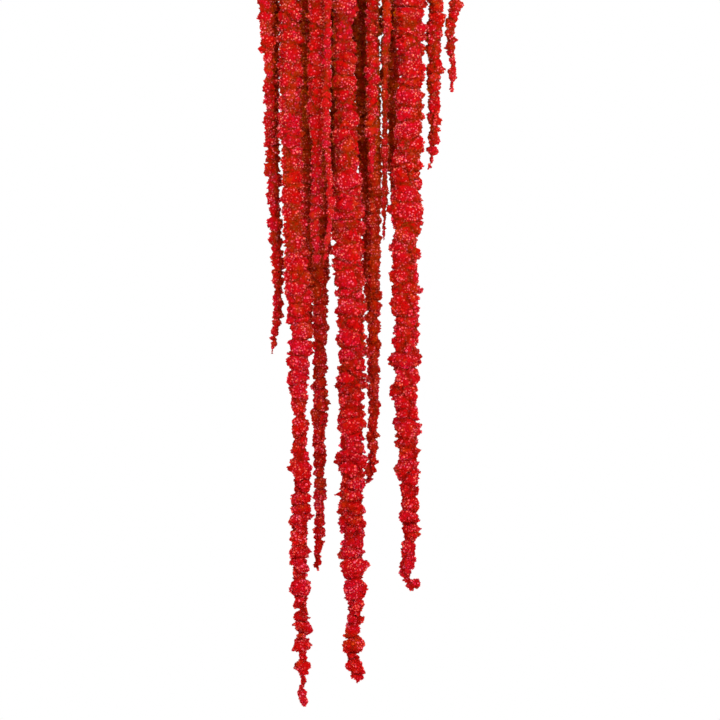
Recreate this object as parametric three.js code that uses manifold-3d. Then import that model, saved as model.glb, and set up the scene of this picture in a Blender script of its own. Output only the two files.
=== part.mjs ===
// Love-lies-bleeding (Amaranthus caudatus) in a hanging clay bowl.
// Long crimson tassels fall over the front rim in one bunch, and short young ones over the sides and back.
// Millimetres, +Z up. The origin is where the hook bears on its support. The front, with the bunch, faces -Y.
import * as THREE from "three";
import { mergeVertices } from "three/addons/utils/BufferGeometryUtils.js";
import Module from "manifold-3d";

const wasm = await Module();
wasm.setup();
const point = (x, y, z) => new THREE.Vector3(x, y, z);
const mix = THREE.MathUtils.lerp;
const turns = (share) => share * 2 * Math.PI;
const radians = THREE.MathUtils.degToRad;

// Driving dimensions of the hanger, bowl and soil
const gap = 0.35; // between pieces that touch on the real thing
const hook = { innerRadius: 11, radius: 2.5, sides: 8, steps: 1, footZ: -46 };
const cap = { topZ: -40, bottomZ: -56, radius: 8.5, neckRadius: 3.6, chamfer: 4, sides: 18 };
const wire = {
  radius: 1.6,
  sides: 6,
  steps: 1,
  azimuths: [90, 210, 330],
  capRadius: 4.6, // from the axis to a wire's socket
  topZ: -46,
  toeRadius: 102.5, // from the axis to the end of the bend under the band
};
const pot = {
  rimZ: -400,
  baseZ: -505,
  bandZ: -425,
  floorZ: -496,
  rimRadius: 112,
  bandFootRadius: 110,
  mouthRadius: 97,
  baseRadius: 60,
  drainRadius: 9,
  sides: 24,
  outside: [[66, -502], [86, -470], [95, -446], [100, -425]], // from the base up to the band
  inside: [[58, -496], [79, -468], [88, -446], [93.5, -425]], // from the floor up
};
const soil = { edgeZ: -414, crownZ: -406, pegZ: -502, pegRadius: 8.4, lump: 3 };
const stemSides = 6;
const leaf = { thickness: 0.9, petioleWidth: 1.3, petioleDepth: 2.2, petioleShare: 0.3, fold: 0.24, wave: 2 };

// Leafy stems, each from inside the soil to the point where its own tassel takes over.
// A leaf is [share of the stem's length, azimuth, reach, height of its bend, height of its tip, half width].
const stems = {
  left: {
    path: [[-30, -24, -442], [-33, -40, -392], [-39, -78, -352], [-44, -112, -341], [-46, -132, -346]],
    radii: [5, 4.8, 4.2, 3.4, 2.8],
    leaves: [
      [0.36, 228, 92, 44, 22, 23],
      [0.5, 262, 84, 75, 50, 22],
      [0.57, 112, 76, 62, 48, 20],
      [0.66, 232, 80, 46, 16, 21],
    ],
  },
  middle: {
    path: [[2, -34, -444], [1, -48, -390], [-2, -84, -345], [-6, -118, -333], [-9, -136, -339]],
    radii: [5.2, 5, 4.4, 3.6, 3],
    leaves: [
      [0.4, 296, 74, 84, 62, 22],
      [0.5, 245, 86, 80, 62, 23],
      [0.56, 55, 66, 58, 50, 21],
      [0.74, 262, 84, 70, 40, 21],
    ],
  },
  right: {
    path: [[32, -22, -442], [34, -40, -394], [35, -80, -354], [35, -112, -344], [34.5, -132, -350]],
    radii: [5, 4.8, 4.2, 3.4, 2.8],
    leaves: [
      [0.38, 318, 90, 46, 26, 23],
      [0.55, 70, 76, 60, 46, 22],
      [0.61, 318, 84, 62, 36, 22],
      [0.74, 286, 78, 66, 42, 19],
    ],
  },
  left_back: {
    path: [[-44, 20, -442], [-54, 26, -396], [-82, 42, -362], [-108, 54, -352], [-122, 60, -358]],
    radii: [4.6, 4.4, 3.8, 3, 2.6],
    leaves: [
      [0.4, 190, 84, 50, 24, 22],
      [0.5, 110, 74, 56, 34, 22],
      [0.6, 215, 80, 60, 36, 22],
      [0.7, 140, 84, 50, 26, 22],
      [0.83, 178, 70, 36, 14, 19],
    ],
  },
  back: {
    path: [[-8, 46, -442], [-14, 60, -394], [-24, 88, -362], [-32, 112, -354], [-36, 126, -361]],
    radii: [4.6, 4.4, 3.8, 3, 2.6],
    leaves: [
      [0.45, 20, 82, 48, 26, 22],
      [0.56, 118, 84, 56, 34, 22],
      [0.62, 248, 76, 58, 46, 22],
      [0.72, 75, 80, 62, 40, 21],
      [0.83, 88, 74, 36, 10, 19],
    ],
  },
  right_back: {
    path: [[44, 22, -442], [56, 26, -396], [84, 36, -364], [108, 46, -355], [122, 52, -362]],
    radii: [4.6, 4.4, 3.8, 3, 2.6],
    leaves: [
      [0.42, 345, 86, 50, 24, 22],
      [0.52, 85, 80, 56, 34, 22],
      [0.58, 160, 74, 60, 50, 22],
      [0.64, 320, 82, 62, 40, 22],
      [0.69, 34, 82, 52, 26, 22],
      [0.85, 2, 68, 36, 14, 19],
    ],
  },
  crown: {
    path: [[6, 8, -444], [8, 10, -395], [5, 12, -345], [0, 8, -305]],
    radii: [4.8, 4.4, 3.4, 2.2],
    leaves: [
      [0.6, 270, 60, 42, 22, 20],
      [0.75, 175, 80, 40, 30, 22],
      [0.84, 345, 80, 48, 34, 22],
      [0.88, 118, 78, 34, 26, 21],
      [0.93, 235, 76, 32, 26, 21],
      [0.96, 25, 70, 30, 30, 19],
      [0.99, 290, 64, 34, 40, 18],
      [0.99, 160, 60, 36, 44, 18],
    ],
  },
};

// Tassels: the stem and the share of its length where each starts, with 1 for the stem's own tassel,
// its distance y from the pot's axis, and the stretch that hangs free as [x, drop below the rim, radius].
const tassels = {
  left_main: {
    stem: "left",
    from: 1,
    y: -158,
    sides: 9,
    pitch: 9.5,
    hang: [
      [-45.5, 130, 7.8], [-45.3, 195, 8.1], [-44, 234, 8], [-42.5, 273, 8.2], [-41.2, 312, 8.6],
      [-40.4, 328, 8], [-39.6, 342, 6.9], [-39.6, 386, 7], [-38.8, 398, 4.8], [-38.4, 405, 4.2],
      [-39.2, 418, 6.4],
      [-38.4, 436, 6],
      [-37.7, 450, 6.2], [-39.2, 465, 6], [-39.2, 483, 6.4], [-39.4, 495, 5.2], [-39, 513, 5.8],
      [-37.4, 524, 4], [-37.6, 553, 3.7], [-37.4, 572, 2.9], [-36.6, 588, 1.9],
    ],
  },
  middle_main: {
    stem: "middle",
    from: 1,
    y: -158,
    sides: 9,
    pitch: 9.5,
    hang: [
      [-11, 130, 7.6], [-10.4, 169, 7.6], [-9.4, 205, 8], [-8.4, 240, 9], [-7.6, 275, 10.6],
      [-7.2, 305, 10.6], [-6, 324, 9.8], [-5.6, 355, 9.6], [-5.7, 400, 9], [-5.4, 445, 8.6],
      [-4.5, 468, 8.2], [-4.6, 490, 7.8], [-3.4, 505, 7], [-3, 517, 5.2], [-3.4, 528, 5.8],
      [-3.6, 542, 5.2], [-5, 555, 5], [-4.4, 563, 4.6], [-1.2, 569.6, 4.2], [2, 571.4, 3.6],
    ],
  },
  right_main: {
    stem: "right",
    from: 1,
    y: -156,
    sides: 9,
    pitch: 9.5,
    hang: [
      [33.5, 130, 8.8], [33, 195, 9], [31, 235, 9.6], [29.8, 262, 10.1], [29.6, 300, 9.6],
      [29.6, 340, 9.2], [29.6, 365, 8.9], [29.8, 400, 8.3], [31, 425, 7.6], [31.8, 445, 7],
      [31.4, 460, 6.8], [32.2, 478, 6.2], [31.4, 490, 5.8], [29.4, 501, 5], [31, 508.6, 4.6],
      [34.4, 511.4, 4.2], [37.4, 512, 3.6],
    ],
  },
  left_outer_front: {
    stem: "left",
    from: 0.8,
    y: -166,
    hang: [[-61.2, 130, 5.4], [-60.8, 156, 4.6], [-58.6, 174, 3.2], [-58, 184, 1.8]],
  },
  left_outer: {
    stem: "left",
    from: 0.71,
    y: -140,
    hang: [
      [-57.2, 169, 6.1], [-57, 215, 5.8], [-56, 247, 4.8], [-54.5, 292, 4.6], [-53.2, 326, 4],
      [-54.2, 341, 2.9], [-56.4, 352, 2.5], [-57.8, 362, 1.6],
    ],
  },
  left_inner: {
    stem: "left",
    from: 0.86,
    y: -160,
    hang: [
      [-28, 130, 6.8], [-28, 195, 6.4], [-28, 221, 4.8], [-28.6, 260, 4], [-29, 286, 3],
      [-27.6, 304, 1.8],
    ],
  },
  left_shade: {
    stem: "left",
    from: 0.62,
    y: -128,
    hang: [[-36, 130, 6], [-35.4, 225, 5.6], [-33.4, 290, 4.6], [-33, 350, 2.4]],
  },
  middle_long: {
    stem: "middle",
    from: 0.58,
    y: -138,
    hang: [
      [-24, 130, 5.4], [-25.4, 227, 6.2], [-25.5, 285, 6.8], [-26.4, 325, 6], [-26.2, 390, 5.6],
      [-26.8, 424, 5], [-26, 447, 4.6], [-26.8, 465, 4.2], [-26.2, 479, 3.6], [-27.4, 489, 3.3],
      [-29, 496, 3], [-28.4, 502, 2.5],
    ],
  },
  middle_thread: {
    stem: "middle",
    from: 0.84,
    y: -172,
    hang: [
      [-20.5, 130, 3], [-20.8, 169, 3], [-21.5, 215, 2.8], [-19, 260, 2.6], [-20, 283, 2.2],
      [-24, 304, 1.2],
    ],
  },
  middle_shade_left: {
    stem: "middle",
    from: 0.64,
    y: -130,
    hang: [[-15.5, 130, 5.4], [-16, 195, 5.2], [-17, 240, 4.2], [-17.6, 270, 3], [-17.4, 286, 1.9]],
  },
  middle_shade: {
    stem: "middle",
    from: 0.7,
    y: -130,
    hang: [[0, 130, 7.2], [1, 205, 6.4], [3.4, 250, 5], [4.4, 295, 3.8], [4.4, 326, 2]],
  },
  middle_right: {
    stem: "middle",
    from: 0.89,
    y: -156,
    hang: [[7.8, 130, 4.8], [7.8, 195, 4.6], [7.8, 221, 3.4], [7.4, 246, 1.9]],
  },
  middle_right_long: {
    stem: "middle",
    from: 0.78,
    y: -140,
    hang: [
      [9, 130, 5], [9.8, 260, 5.4], [9, 292, 5.4], [8.5, 345, 5.1], [8.8, 390, 4.5],
      [8.2, 415, 4], [8.4, 427, 3.6], [6.8, 438, 3.1], [5.6, 444, 2.6],
    ],
  },
  right_hook: {
    stem: "right",
    from: 0.88,
    y: -168,
    hang: [[16, 130, 3.5], [19, 151, 3.4], [15.4, 165, 1.9]],
  },
  right_thread: {
    stem: "right",
    from: 0.77,
    y: -148,
    hang: [[17, 130, 3], [16, 185, 2.8], [16.3, 225, 2.6], [16, 260, 2.4], [15.4, 288, 1.2]],
  },
  right_shade: {
    stem: "right",
    from: 0.66,
    y: -134,
    hang: [
      [19.6, 130, 7.4], [20.2, 188, 7], [22, 212, 5.2], [21.5, 228, 4.8], [21.5, 250, 3.6],
      [22, 273, 2],
    ],
  },
  right_outer: {
    stem: "right",
    from: 0.83,
    y: -150,
    hang: [[48, 130, 6.5], [48, 162, 6], [48, 191, 4.9], [47.6, 220, 3.5], [45.4, 239, 1.7]],
  },
  right_far: {
    stem: "right",
    from: 0.71,
    y: -146,
    hang: [[62, 130, 4.6], [59, 147, 4], [59, 162, 3.3], [60.6, 173, 2.4], [59, 190, 1.8]],
  },
  left_back: { stem: "left_back", from: 1, y: 68, hang: [[-138, 0, 6], [-139, 48, 5.6], [-138, 92, 1.8]] },
  left_back_side: {
    stem: "left_back",
    from: 0.78,
    y: 92,
    hang: [[-112, 0, 4.4], [-113, 40, 4], [-112, 70, 1.6]],
  },
  back: { stem: "back", from: 1, y: 142, hang: [[-39, 0, 6.2], [-40, 46, 5.8], [-39, 88, 1.8]] },
  back_side: { stem: "back", from: 0.78, y: 132, hang: [[-66, 0, 4.4], [-67, 40, 4], [-66, 76, 1.6]] },
  right_back: { stem: "right_back", from: 1, y: 60, hang: [[138, 0, 6], [139, 42, 5.4], [138, 80, 1.8]] },
  right_back_side: {
    stem: "right_back",
    from: 0.78,
    y: 88,
    hang: [[118, 0, 4.6], [119, 45, 4.2], [118, 82, 1.6]],
  },
};

// Florets stand in knobs, each with six low points round it. A main tassel states its own pitch and sides.
const relief = { knob: 1.13, valley: 0.84, scatter: 0.08, pitch: 13.2, sides: 6 };
const settle = { rounds: 60, stemClearance: 5.6, near: 30, hangingZ: -480, sideGive: 0.12 };

const look = {
  steel: new THREE.MeshStandardMaterial({ color: 0x4a4c4e, roughness: 0.45, metalness: 0.9 }),
  clay: new THREE.MeshStandardMaterial({ color: 0xb9653f, roughness: 0.85 }),
  soil: new THREE.MeshStandardMaterial({ color: 0x3a281c, roughness: 1 }),
  foliage: new THREE.MeshStandardMaterial({ color: 0x4f7a34, roughness: 0.6 }),
  flowers: new THREE.MeshStandardMaterial({ color: 0xb2151b, roughness: 0.7 }),
};

// A seeded generator, so that every run gives the same plant
function randomFrom(seed) {
  let state = seed;
  return () => {
    state = (state + 0x6d2b79f5) | 0;
    let t = Math.imul(state ^ (state >>> 15), 1 | state);
    t = (t + Math.imul(t ^ (t >>> 7), 61 | t)) ^ t;
    return ((t ^ (t >>> 14)) >>> 0) / 4294967296;
  };
}

// A geometry with its shared corners merged
function welded(geometry) {
  const bare = geometry.clone();
  bare.deleteAttribute("normal");
  bare.deleteAttribute("uv");
  return mergeVertices(bare, 1e-3);
}

function solidOf(geometry) {
  const merged = welded(geometry);
  const vertProperties = merged.attributes.position.array;
  const triVerts = new Uint32Array(merged.index.array);
  return new wasm.Manifold(new wasm.Mesh({ numProp: 3, vertProperties, triVerts }));
}

// Slivers that a cut leaves, thinner than this many millimetres, are merged away
const sliver = 0.04;

function geometryOf(solid) {
  const mesh = solid.simplify(sliver).getMesh();
  const geometry = new THREE.BufferGeometry();
  geometry.setAttribute("position", new THREE.BufferAttribute(mesh.vertProperties, 3));
  geometry.setIndex(new THREE.BufferAttribute(mesh.triVerts, 1));
  geometry.computeVertexNormals();
  return geometry;
}

const throughPoints = (points) => new THREE.CatmullRomCurve3(points, false, "centripetal");

// Cross directions carried along a curve without twist, one pair for each ring
function framesAlong(curve, rings) {
  const frames = [];
  let normal = Math.abs(curve.getTangent(0).y) < 0.9 ? point(0, 1, 0) : point(1, 0, 0);
  for (let ring = 0; ring <= rings; ring++) {
    const along = curve.getTangent(ring / rings);
    normal = normal.clone().addScaledVector(along, -normal.dot(along)).normalize();
    frames.push({ normal, other: normal.clone().cross(along) });
  }
  return frames;
}

// A closed tube through the points of a curve: a unit cylinder bent onto it, each ring turned half a facet
// past the last. radiusAt gets the share of the points passed, the ring and the facet.
function sweep(points, { sides, steps, radiusAt }) {
  const curve = throughPoints(points);
  const rings = steps * (points.length - 1);
  const frames = framesAlong(curve, rings);
  const tube = welded(new THREE.CylinderGeometry(1, 1, 1, sides, rings));
  const place = tube.attributes.position;
  for (let n = 0; n < place.count; n++) {
    const ring = Math.round((place.getY(n) + 0.5) * rings);
    const bearing = Math.atan2(-place.getX(n), place.getZ(n)) / turns(1);
    const facet = (Math.round(bearing * sides) + sides) % sides;
    const angle = turns((facet + ring / 2) / sides);
    const onAxis = Math.hypot(place.getX(n), place.getZ(n)) < 0.5;
    const radius = onAxis ? 0 : radiusAt(ring / rings, ring, facet);
    const spot = curve.getPoint(ring / rings);
    spot.addScaledVector(frames[ring].normal, radius * Math.cos(angle));
    spot.addScaledVector(frames[ring].other, radius * Math.sin(angle));
    place.setXYZ(n, spot.x, spot.y, spot.z);
  }
  return tube;
}

// A turned piece about Z, from a profile of [radius, z] that ends on the axis or closes on itself
function turned(profile, sides) {
  const outline = profile.map(([radius, z]) => new THREE.Vector2(radius, z));
  return new THREE.LatheGeometry(outline, sides).rotateX(Math.PI / 2);
}

// Reads a list of values at any share of the way from the first to the last
function valueAt(values, share) {
  const at = share * (values.length - 1);
  const n = Math.min(values.length - 2, Math.floor(at));
  return mix(values[n], values[n + 1], at - n);
}

// Hanger: a wire from its socket in the cap to the rim, along the band and round under the band's edge.
// A wider and longer one, by grow, cuts the socket.
function wireGeometry(azimuth, grow = 0) {
  const off = gap + wire.radius;
  const onTheWay = (share) => [mix(wire.capRadius, pot.rimRadius, share), mix(wire.topZ, pot.rimZ, share)];
  const outline = [
    [wire.capRadius, wire.topZ + grow],
    onTheWay(0.5),
    onTheWay(0.97),
    [pot.rimRadius + off + 0.1, pot.rimZ + 1],
    [pot.rimRadius + off + 0.2, pot.rimZ - 4],
    [pot.bandFootRadius + off + 0.3, pot.bandZ + 1],
    [pot.bandFootRadius + 0.85 * off, pot.bandZ - 0.85 * off],
    [pot.bandFootRadius - 0.5, pot.bandZ - off - 0.2],
    [wire.toeRadius, pot.bandZ - off - 0.1],
  ];
  const angle = radians(azimuth);
  const route = outline.map(([radius, z]) => point(radius * Math.cos(angle), radius * Math.sin(angle), z));
  return sweep(route, { ...wire, radiusAt: () => wire.radius + grow });
}

// Hook and cap in one, with a socket for each wire
function hookSolid() {
  const bend = hook.innerRadius + hook.radius;
  const centreZ = -hook.innerRadius;
  const route = [point(0, 0, hook.footZ), point(0, 0, -34), point(3.5, 0, -26.5)];
  for (let angle = -40; angle <= 190; angle += 23) {
    route.push(point(bend * Math.cos(radians(angle)), 0, centreZ + bend * Math.sin(radians(angle))));
  }
  route.push(point(-bend - 1.6, 0, centreZ - 9));
  const rod = solidOf(sweep(route, { ...hook, radiusAt: () => hook.radius }));
  const shell = turned(
    [
      [0, cap.bottomZ],
      [cap.radius, cap.bottomZ],
      [cap.radius, cap.topZ - cap.chamfer],
      [cap.neckRadius, cap.topZ],
      [0, cap.topZ],
    ],
    cap.sides,
  );
  const whole = rod.add(solidOf(shell));
  return wire.azimuths.reduce((made, azimuth) => made.subtract(solidOf(wireGeometry(azimuth, gap))), whole);
}

// Clay bowl: one turned wall with a thick band at the rim and a drain hole through the floor
function potGeometry() {
  const outside = [
    [pot.drainRadius, pot.baseZ],
    [pot.baseRadius, pot.baseZ],
    ...pot.outside,
    [pot.bandFootRadius, pot.bandZ],
    [pot.rimRadius, pot.rimZ - 3],
    [pot.rimRadius - 2, pot.rimZ],
    [pot.mouthRadius, pot.rimZ],
  ];
  const inside = [...pot.inside.toReversed(), [pot.drainRadius, pot.floorZ], [pot.drainRadius, pot.baseZ]];
  return turned([...outside, ...inside], pot.sides);
}

// Soil: fills the bowl to below the rim and the drain hole, domed and lumpy on top, with a hole for each stem
function soilSolid() {
  const random = randomFrom(31);
  const wall = pot.inside.map(([radius, z], n) => [radius - gap, n === 0 ? z + gap : z]);
  const profile = [
    [0, soil.pegZ],
    [soil.pegRadius, soil.pegZ],
    [soil.pegRadius, pot.floorZ + gap],
    ...wall,
    [pot.inside.at(-1)[0] - gap, soil.edgeZ],
    [68, mix(soil.edgeZ, soil.crownZ, 0.5)],
    [34, mix(soil.edgeZ, soil.crownZ, 0.9)],
    [0, soil.crownZ],
  ];
  const body = welded(turned(profile, pot.sides));
  const place = body.attributes.position;
  for (let n = 0; n < place.count; n++) {
    const lift = place.getZ(n) > soil.edgeZ + 1 ? soil.lump * (random() - 0.5) : 0;
    place.setZ(n, place.getZ(n) + lift);
  }
  return Object.keys(stems).reduce((made, name) => made.subtract(stemSolid(name, gap)), solidOf(body));
}

// Stems
const stemPoints = (name) => stems[name].path.map(([x, y, z]) => point(x, y, z));
const stemCurve = (name) => throughPoints(stemPoints(name));

function stemSolid(name, grow = 0) {
  const radiusAt = (share) => valueAt(stems[name].radii, share) + grow;
  return solidOf(sweep(stemPoints(name), { sides: stemSides, steps: 2, radiusAt }));
}

// A leaf: a stalk that widens into a blade folded along its rib, with waved edges and one thickness.
// Rows of three points (edge, rib, edge) lie on the top face, and three more on the underside.
function leafGeometry(base, [, azimuth, reach, bendRise, tipRise, halfWidth], phase) {
  const out = point(Math.cos(radians(azimuth)), Math.sin(radians(azimuth)), 0);
  const side = point(-out.y, out.x, 0);
  const rise = (share, height) => base.clone().addScaledVector(out, share * reach).setZ(base.z + height);
  const rib = new THREE.QuadraticBezierCurve3(base, rise(0.5, bendRise), rise(1, tipRise));
  const rows = [0, leaf.petioleShare, 0.43, 0.57, 0.72, 0.87, 1];
  const places = [];
  rows.forEach((share, row) => {
    const blade = Math.max(0, (share - leaf.petioleShare) / (1 - leaf.petioleShare));
    const width = Math.max(leaf.petioleWidth, halfWidth * Math.sin(Math.PI * blade ** 0.72) ** 0.85);
    const depth = row < 2 ? leaf.petioleDepth : leaf.thickness;
    const up = rib.getTangent(share).cross(side).normalize();
    for (const across of [-1, 0, 1]) {
      const wave = across * leaf.wave * Math.sin(2.2 * row + phase) * Math.sin(Math.PI * blade);
      const lift = Math.abs(across) * leaf.fold * width + wave;
      const top = rib.getPoint(share).addScaledVector(side, across * width).addScaledVector(up, lift);
      places.push(top, top.clone().addScaledVector(up, -depth));
    }
  });
  const at = (row, across, under) => (row * 3 + across) * 2 + under;
  const faces = [];
  const quad = (a, b, c, d) => faces.push(a, b, c, a, c, d);
  for (let row = 0; row < rows.length - 1; row++) {
    for (let across = 0; across < 2; across++) {
      const corners = (under) => [
        at(row, across, under),
        at(row + 1, across, under),
        at(row + 1, across + 1, under),
        at(row, across + 1, under),
      ];
      quad(...corners(0));
      const [a, b, c, d] = corners(1);
      faces.push(a, c, b, a, d, c);
    }
    quad(at(row, 0, 0), at(row, 0, 1), at(row + 1, 0, 1), at(row + 1, 0, 0));
    quad(at(row, 2, 0), at(row + 1, 2, 0), at(row + 1, 2, 1), at(row, 2, 1));
  }
  const last = rows.length - 1;
  for (let across = 0; across < 2; across++) {
    quad(at(0, across, 0), at(0, across + 1, 0), at(0, across + 1, 1), at(0, across, 1));
    quad(at(last, across, 0), at(last, across, 1), at(last, across + 1, 1), at(last, across + 1, 0));
  }
  return new THREE.BufferGeometry().setFromPoints(places).setIndex(faces);
}

function leafyStemSolid(name) {
  const curve = stemCurve(name);
  return stems[name].leaves.reduce(
    (made, values, n) => made.add(solidOf(leafGeometry(curve.getPointAt(values[0]), values, 1.7 * n))),
    stemSolid(name),
  );
}

// A tassel's route and radii: from its stem in a small arch, out and down to where it hangs, then to its tip.
// The stem's own tassel starts as a sleeve round the stem's end.
function tasselRoute({ stem, from, y, hang }) {
  const curve = stemCurve(stem);
  const own = from === 1;
  const start = curve.getPointAt(from);
  const [x, drop, radius] = hang[0];
  const hangZ = pot.rimZ - drop;
  const reach = Math.hypot(x - start.x, y - start.y);
  const over = (share, rise) => point(mix(start.x, x, share), mix(start.y, y, share), start.z + rise);
  const lift = own ? 1 : 2 + 0.08 * reach;
  const collar = own ? 5.4 : 2;
  const stretch = own ? [[curve.getPointAt(0.94), 5], [start, collar]] : [[start, 1.7]];
  stretch.push([over(0.35, lift), mix(collar, radius, 0.4)]);
  stretch.push([over(0.7, 0.4 * lift - 0.1 * reach), mix(collar, radius, 0.75)]);
  stretch.push([over(0.94, -0.42 * reach), radius]);
  const shoulderZ = start.z - 0.9 * reach - 4;
  const falls = Math.max(1, Math.round((shoulderZ - hangZ) / 60));
  for (let fall = 0; fall < falls; fall++) {
    stretch.push([point(x, y, mix(shoulderZ, hangZ, fall / falls)), radius]);
  }
  hang.forEach(([hangX, below, hangRadius]) => stretch.push([point(hangX, y, pot.rimZ - below), hangRadius]));
  return { points: stretch.map(([place]) => place), radii: stretch.map(([, value]) => value) };
}

// Beads along a tassel, one for each ring of its relief
function tasselBeads(tassel) {
  const { points, radii } = tasselRoute(tassel);
  const curve = throughPoints(points);
  const steps = Math.round(curve.getLength() / (tassel.pitch ?? relief.pitch));
  return curve.getSpacedPoints(steps).map((start, n) => ({
    start,
    place: start.clone(),
    moved: point(0, 0, 0),
    radius: valueAt(radii, curve.getUtoTmapping(n / steps)),
  }));
}

// Moves a bead off a point that it is nearer to than the distance, mostly in depth where it hangs
function giveWay(bead, from, distance, share) {
  const apart = bead.place.clone().sub(from);
  const short = distance - apart.length();
  if (short <= 0) return;
  apart.setLength(share * short);
  const hanging = bead.start.z < settle.hangingZ;
  bead.moved.add(point((hanging ? settle.sideGive : 0.7) * apart.x, apart.y, hanging ? 0 : 0.4 * apart.z));
}

// Lets the tassels hang side by side: where two are closer than their thickness allows both give way,
// and each stays clear of the stems and the bowl.
function settledTassels() {
  const routes = Object.entries(tassels).map(([name, tassel]) => ({ name, beads: tasselBeads(tassel) }));
  const beads = routes.flatMap((route) => route.beads.map((bead, n) => ({ bead, n, name: route.name })));
  const stemSpots = Object.keys(stems).flatMap((stem) => {
    return stemCurve(stem).getSpacedPoints(20).map((place) => ({ place, stem }));
  });
  for (let round = 0; round < settle.rounds; round++) {
    beads.forEach(({ bead, name, n }, order) => {
      for (const { bead: other, name: otherName } of beads.slice(order + 1)) {
        if (otherName === name || Math.abs(bead.place.z - other.place.z) > settle.near) continue;
        const distance = relief.knob * (bead.radius + other.radius) + 1;
        giveWay(bead, other.place, distance, 0.5);
        giveWay(other, bead.place, distance, 0.5);
      }
      const { stem, from } = tassels[name];
      stemSpots.forEach((spot) => {
        if (spot.stem === stem && (from === 1 || n < 1)) return;
        giveWay(bead, spot.place, relief.knob * bead.radius + settle.stemClearance, 0.8);
      });
      const beside = bead.place.z < pot.rimZ + bead.radius && bead.place.z > pot.baseZ - bead.radius;
      if (beside) giveWay(bead, point(0, 0, bead.place.z), pot.rimRadius + bead.radius + 2, 0.8);
    });
    routes.forEach(easeRoute);
  }
  return routes;
}

// Spreads each bead's move to its neighbours, so that the tassel bends smoothly. Its start stays on the stem.
function easeRoute({ name, beads }) {
  const held = tassels[name].from === 1 ? 2 : 1;
  const eased = beads.map(({ moved }, n) => {
    const before = beads[Math.max(0, n - 1)].moved;
    const after = beads[Math.min(beads.length - 1, n + 1)].moved;
    return moved.clone().multiplyScalar(0.5).addScaledVector(before, 0.25).addScaledVector(after, 0.25);
  });
  beads.forEach((bead, n) => {
    if (n < held) bead.moved.set(0, 0, 0);
    else bead.moved.copy(eased[n]);
    bead.place.copy(bead.start).add(bead.moved);
  });
}

// A tassel: a slim body covered with knobs of florets, cut where it meets its own stem
function tasselSolid({ name, beads }, seed) {
  const random = randomFrom(seed);
  const { sides = relief.sides, stem } = tassels[name];
  const radiusAt = (share, ring, facet) => {
    const knob = (facet + 2 * ring) % 3 === 0 ? relief.knob : relief.valley;
    return beads[ring].radius * (ring < 2 ? 1 : knob + relief.scatter * (random() - 0.5));
  };
  const body = sweep(beads.map(({ place }) => place), { sides, steps: 1, radiusAt });
  return solidOf(body).subtract(stemSolid(stem, gap));
}

const plant = new THREE.Group();
function add(name, geometry, material) {
  const mesh = new THREE.Mesh(geometry, material);
  mesh.name = name;
  plant.add(mesh);
}

add("hanger_hook", geometryOf(hookSolid()), look.steel);
wire.azimuths.forEach((azimuth, n) => add(`hanger_wire_${n + 1}`, wireGeometry(azimuth), look.steel));
add("pot", potGeometry(), look.clay);
add("soil", geometryOf(soilSolid()), look.soil);
Object.keys(stems).forEach((name) => {
  add(`leafy_stem_${name}`, geometryOf(leafyStemSolid(name)), look.foliage);
});
settledTassels().forEach((tassel, n) => {
  add(`tassel_${tassel.name}`, geometryOf(tasselSolid(tassel, 100 + n)), look.flowers);
});

export default plant;
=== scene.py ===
# Potted love-lies-bleeding: crimson tassels and leafy stems from a clay bowl on a wire hanger.
# Metres, +Z up, the front faces -Y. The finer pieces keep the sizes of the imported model.
import math
import random

import bmesh
import bpy
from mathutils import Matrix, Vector, noise
from mathutils.bvhtree import BVHTree


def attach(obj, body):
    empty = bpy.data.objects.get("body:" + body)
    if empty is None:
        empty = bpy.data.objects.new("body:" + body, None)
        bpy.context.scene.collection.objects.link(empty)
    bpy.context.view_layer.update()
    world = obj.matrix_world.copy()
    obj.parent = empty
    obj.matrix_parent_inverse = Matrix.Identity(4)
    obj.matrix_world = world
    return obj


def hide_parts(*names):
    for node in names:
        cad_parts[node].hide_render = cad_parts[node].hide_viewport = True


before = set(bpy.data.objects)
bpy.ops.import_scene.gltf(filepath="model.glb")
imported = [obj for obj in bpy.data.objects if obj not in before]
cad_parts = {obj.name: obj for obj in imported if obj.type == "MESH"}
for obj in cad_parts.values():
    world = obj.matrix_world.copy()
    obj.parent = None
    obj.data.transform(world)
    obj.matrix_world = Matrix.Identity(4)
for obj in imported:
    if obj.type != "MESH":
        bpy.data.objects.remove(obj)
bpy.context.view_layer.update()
scene = bpy.context.scene
mm = 0.001
print("frame loaded, nodes:", len(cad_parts))

# Camera, level and far off as in the photo, which cuts the bunch at its top edge
cameraSettings = {"place": (0, -2.75, -0.764), "lens": 200, "sensor": 36, "farthest": 30}


def makeCamera():
    camera = bpy.data.objects.new("camera", bpy.data.cameras.new("camera"))
    camera.location = cameraSettings["place"]
    camera.rotation_euler = (math.radians(90), 0, 0)
    camera.data.lens = cameraSettings["lens"]
    camera.data.sensor_width = cameraSettings["sensor"]
    camera.data.clip_end = cameraSettings["farthest"]
    scene.collection.objects.link(camera)
    scene.camera = camera
    scene.view_settings.view_transform = "Standard"


makeCamera()
print("camera placed")


# Helpers for node trees
def addNode(tree, kind, values=None, **settings):
    made = tree.nodes.new(kind)
    for name, value in settings.items():
        setattr(made, name, value)
    for name, value in (values or {}).items():
        if isinstance(value, bpy.types.NodeSocket):
            tree.links.new(value, made.inputs[name])
        else:
            made.inputs[name].default_value = value
    return made


# The linear colour of a hex code, by the sRGB curve
def colourOf(code):
    parts = [int(code[n:n + 2], 16) / 255 for n in (0, 2, 4)]
    parts = [part / 12.92 if part <= 0.04045 else ((part + 0.055) / 1.055) ** 2.4 for part in parts]
    return (*parts, 1)


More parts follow.
